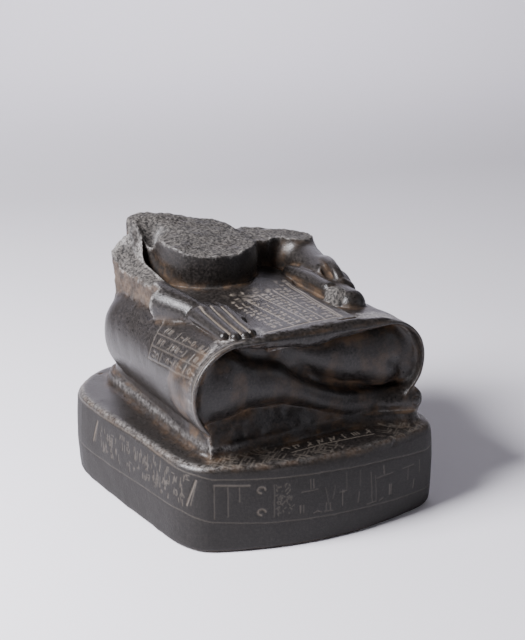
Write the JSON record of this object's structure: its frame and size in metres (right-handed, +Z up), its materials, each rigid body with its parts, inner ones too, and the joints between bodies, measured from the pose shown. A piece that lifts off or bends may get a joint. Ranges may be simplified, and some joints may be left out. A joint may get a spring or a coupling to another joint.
{
  "type": "scribe statue",
  "caption": "Broken dark stone figure of a cross-legged seated scribe with a papyrus sheet on the lap, carved in one piece with its inscribed plinth.",
  "frame": {"origin": "middle of the box of the plinth's underside, at floor level", "axes": "+Z up, the figure faces -Y, its right hand is on the -X side"},
  "size_m": [0.2839, 0.318, 0.2588],
  "materials": {
    "stone": "dark grey to black granodiorite, polished, with rough grey breaks, pale scuffed edges and reddish-brown dust in the carving"
  },
  "bodies": {
    "root": {"scribe_statue": "stone"}
  },
  "joints": []
}
